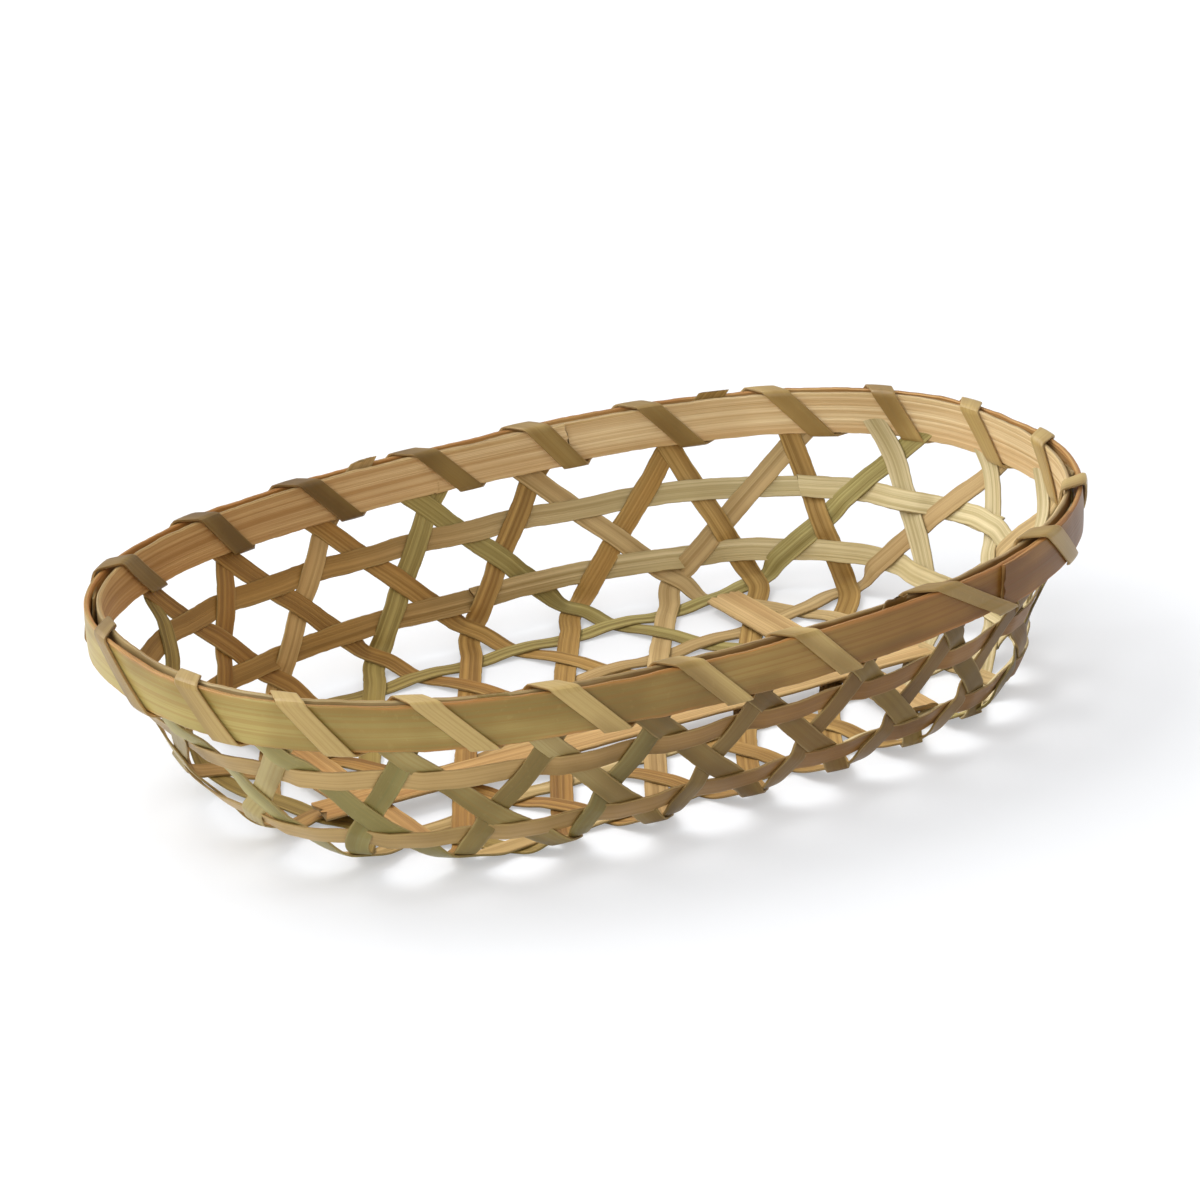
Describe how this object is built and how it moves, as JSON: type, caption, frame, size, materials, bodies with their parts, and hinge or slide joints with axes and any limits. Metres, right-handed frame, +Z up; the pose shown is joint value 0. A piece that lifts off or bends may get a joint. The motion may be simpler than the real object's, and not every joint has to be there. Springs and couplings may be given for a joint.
{
  "type": "open-weave oval bamboo basket",
  "caption": "Shallow oval bamboo basket in an open hexagonal weave, with two hoops round the wall, a bound double-band rim and wide braces across the floor.",
  "frame": {"origin": "under the middle of the basket, on the surface that its floor strips rest on", "axes": "+X along the long side, +Y across it, +Z up"},
  "size_m": [0.1814, 0.1224, 0.0364],
  "materials": {
    "lengthwise_strip": "split bamboo, satin",
    "right_leaning_strip": "split bamboo, satin",
    "left_leaning_strip": "split bamboo, pale flesh side",
    "hoop_strip": "split bamboo, satin",
    "inner_band": "split bamboo, fine lengthwise fibres",
    "outer_band": "bamboo skin, slightly glossy",
    "binding": "bamboo skin, slightly glossy",
    "brace": "split bamboo, fine lengthwise fibres"
  },
  "bodies": {
    "root": {"long_strip_1": "lengthwise_strip", "long_strip_2": "lengthwise_strip", "long_strip_3": "lengthwise_strip", "long_strip_4": "lengthwise_strip", "long_strip_5": "lengthwise_strip", "right_strip_1": "right_leaning_strip", "right_strip_2": "right_leaning_strip", "right_strip_3": "right_leaning_strip", "right_strip_4": "right_leaning_strip", "right_strip_5": "right_leaning_strip", "right_strip_6": "right_leaning_strip", "right_strip_7": "right_leaning_strip", "right_strip_8": "right_leaning_strip", "right_strip_9": "right_leaning_strip", "left_strip_1": "left_leaning_strip", "left_strip_2": "left_leaning_strip", "left_strip_3": "left_leaning_strip", "left_strip_4": "left_leaning_strip", "left_strip_5": "left_leaning_strip", "left_strip_6": "left_leaning_strip", "left_strip_7": "left_leaning_strip", "hoop_upper": "hoop_strip", "hoop_lower": "hoop_strip", "rim_inner_band": "inner_band", "rim_outer_band": "outer_band", "rim_binding": "binding", "floor_brace_left": "brace", "floor_brace_right": "brace", "floor_brace_long": "brace"}
  },
  "joints": []
}
